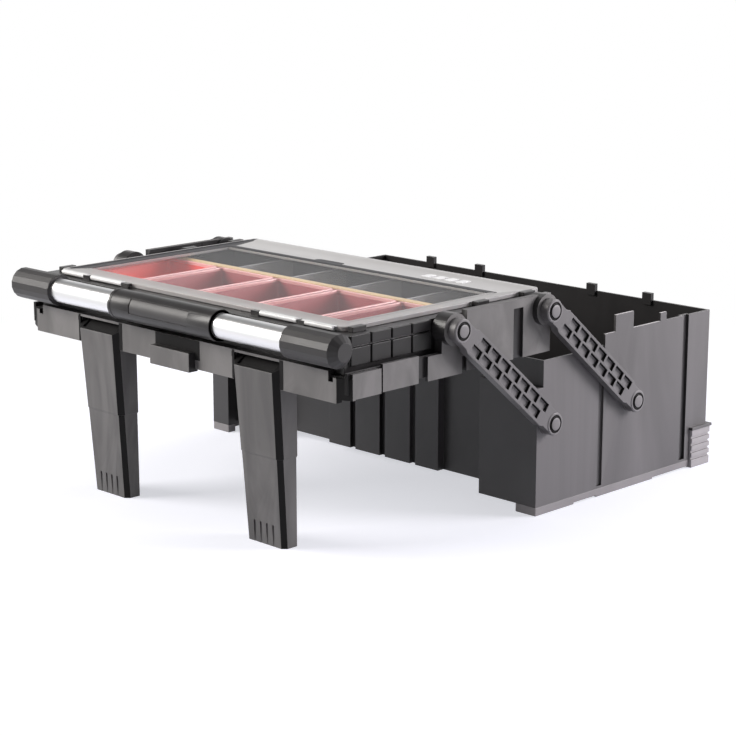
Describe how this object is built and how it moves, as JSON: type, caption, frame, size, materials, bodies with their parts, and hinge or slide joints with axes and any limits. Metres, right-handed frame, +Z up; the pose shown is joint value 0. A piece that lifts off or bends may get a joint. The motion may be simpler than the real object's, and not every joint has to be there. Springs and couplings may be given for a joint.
{
  "type": "cantilever tool box",
  "caption": "Wide lidded organiser tray on folding front legs, swung forward from an open tool tub on parallel lattice arms.",
  "frame": {"origin": "on the floor, under the middle of the box's bounding box with the tray swung out", "axes": "+X to the right, +Y from the tray to the tub's back, +Z up"},
  "size_m": [0.5882, 0.6506, 0.2572],
  "materials": {
    "charcoal_plastic": "moulded, faint flow marks, slight sheen",
    "black_plastic": "moulded, semi-matt",
    "grey_plastic": "moulded, matt",
    "brushed_aluminium": "brushed round the tube",
    "soft_grip": "fine satin",
    "milky_plastic": "milky, lightly grained",
    "clear_plastic": "clear, polished",
    "yellow_plastic": "translucent, satin",
    "red_plastic": "translucent, glossy"
  },
  "bodies": {
    "tub": {"base_tub": "charcoal_plastic", "foot_rail_left": "grey_plastic", "foot_rail_right": "grey_plastic", "corner_guard_left": "grey_plastic", "corner_guard_right": "grey_plastic", "lower_pivot_pins": "charcoal_plastic"},
    "arm_front_right": {"arm_front_right": "charcoal_plastic"},
    "arm_front_left": {"arm_front_left": "charcoal_plastic"},
    "arm_rear_right": {"arm_rear_right": "charcoal_plastic"},
    "arm_rear_left": {"arm_rear_left": "charcoal_plastic"},
    "tray": {"carrier_tray": "black_plastic", "front_catch": "black_plastic", "organiser_case": "black_plastic", "upper_pivot_pins": "black_plastic", "leg_sleeve_left": "charcoal_plastic", "leg_sleeve_right": "charcoal_plastic", "leg_post_left": "charcoal_plastic", "leg_post_right": "charcoal_plastic", "bar_end_cap_left": "black_plastic", "bar_end_cap_right": "black_plastic", "bar_tube": "brushed_aluminium", "bar_grip": "black_plastic", "grip_inlay": "soft_grip", "red_bin_1": "red_plastic", "red_bin_2": "red_plastic", "red_bin_3": "red_plastic", "red_bin_4": "red_plastic", "red_bin_5": "red_plastic", "divider_strip": "yellow_plastic", "clear_dividers": "clear_plastic", "lid_hinge_ears": "black_plastic", "lid_side_clips": "black_plastic"},
    "lid": {"lid_frame": "milky_plastic", "lid_window": "clear_plastic"}
  },
  "joints": [
    {"name": "lift", "type": "hinge", "parent": "tub", "child": "arm_front_right", "pos_m": [0.28665, 0.01197, 0.1085], "axis": [-1, 0, 0], "range_deg": [0, 96.5]},
    {"name": "front_left_arm_swing", "type": "hinge", "parent": "tub", "child": "arm_front_left", "pos_m": [-0.28665, 0.01197, 0.1085], "axis": [-1, 0, 0], "range_deg": [0, 96.5]},
    {"name": "rear_right_arm_swing", "type": "hinge", "parent": "tub", "child": "arm_rear_right", "pos_m": [0.28665, 0.16377, 0.1085], "axis": [-1, 0, 0], "range_deg": [0, 96.5]},
    {"name": "rear_left_arm_swing", "type": "hinge", "parent": "tub", "child": "arm_rear_left", "pos_m": [-0.28665, 0.16377, 0.1085], "axis": [-1, 0, 0], "range_deg": [0, 96.5]},
    {"name": "tray_level", "type": "hinge", "parent": "arm_front_right", "child": "tray", "pos_m": [0.28665, -0.14377, 0.23918], "axis": [1, 0, 0], "range_deg": [0, 96.5]},
    {"name": "lid_hinge", "type": "hinge", "parent": "tray", "child": "lid", "pos_m": [0, -0.27727, 0.25348], "axis": [1, 0, 0], "range_deg": [0, 105]}
  ],
  "couplings": [
    {"joint": "front_left_arm_swing", "follows": "lift", "ratio": 1},
    {"joint": "rear_right_arm_swing", "follows": "lift", "ratio": 1},
    {"joint": "rear_left_arm_swing", "follows": "lift", "ratio": 1},
    {"joint": "tray_level", "follows": "lift", "ratio": 1}
  ]
}
